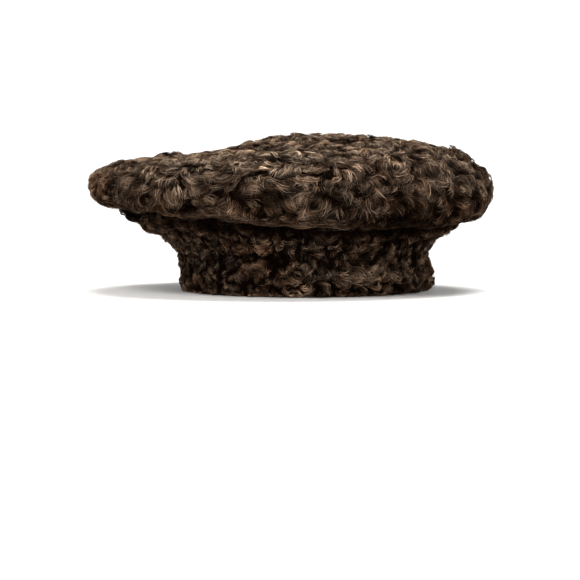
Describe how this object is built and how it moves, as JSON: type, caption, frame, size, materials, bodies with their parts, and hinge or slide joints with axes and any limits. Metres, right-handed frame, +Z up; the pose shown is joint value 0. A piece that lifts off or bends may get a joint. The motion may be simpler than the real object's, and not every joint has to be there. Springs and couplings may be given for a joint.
{
  "type": "curly lamb fur tam cap",
  "caption": "Dark brown curly lamb fur cap: a wide slouched round crown that turns under at its rim, an underside panel, and an upright head band; hollow and open below.",
  "frame": {"origin": "On the surface that the cap stands on, under the middle of the crown's outline.", "axes": "+Z is up, from the band's cut edge to the crown. -Y is the front of the cap. +X is the right side of the cap as seen from the front, where the crown droops; the crown has sunk on the -X side."},
  "size_m": [0.279, 0.2788, 0.1076],
  "materials": {
    "crown_fur": "curly lustrous fur",
    "underside_fur": "curly lustrous fur",
    "band_fur": "tightly curled lustrous fur"
  },
  "bodies": {
    "root": {"crown_top": "crown_fur", "crown_underside": "underside_fur", "head_band": "band_fur"}
  },
  "joints": []
}
